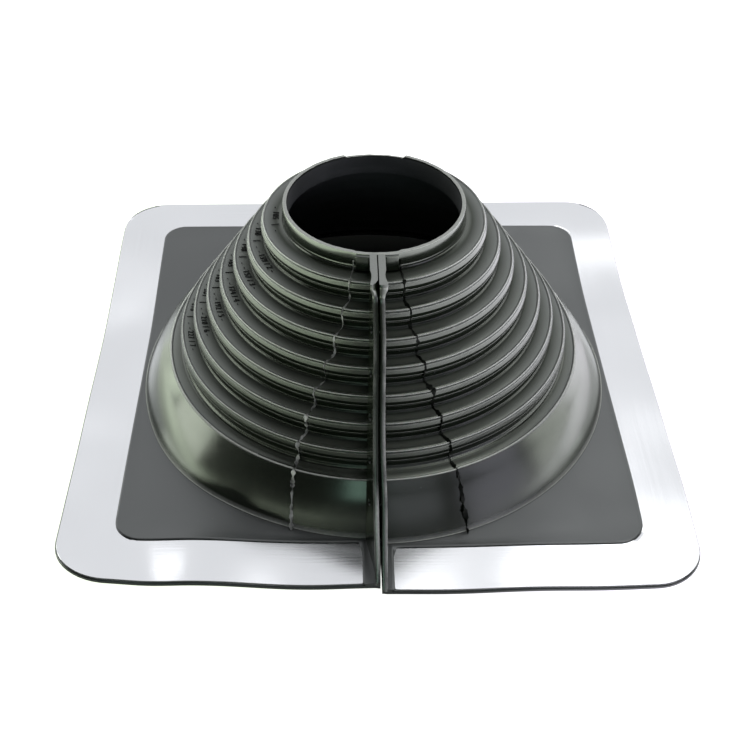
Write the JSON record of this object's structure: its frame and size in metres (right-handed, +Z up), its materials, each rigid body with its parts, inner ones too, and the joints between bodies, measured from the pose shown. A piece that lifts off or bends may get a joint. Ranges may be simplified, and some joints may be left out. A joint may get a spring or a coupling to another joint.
{
  "type": "split pipe flashing boot",
  "caption": "Stepped rubber cone on a square flange edged with a soft metal strip, split down one side along a lipped seam, that seals round a pipe where it passes through a roof.",
  "frame": {"origin": "centre of the flange's underside, on the cone's axis, at the height of the roof that it lies on", "axes": "+Z up along the cone's axis and the pipe; -Y towards the split seam and its two upright lips; +X to the right seen from the seam"},
  "size_m": [0.355, 0.355, 0.131],
  "materials": {
    "rubber": "black moulded EPDM, satin on the cone and matt on the flange",
    "aluminium": "satin rolled sheet"
  },
  "bodies": {
    "root": {"rubber_boot": "rubber", "aluminium_frame": "aluminium"}
  },
  "joints": []
}
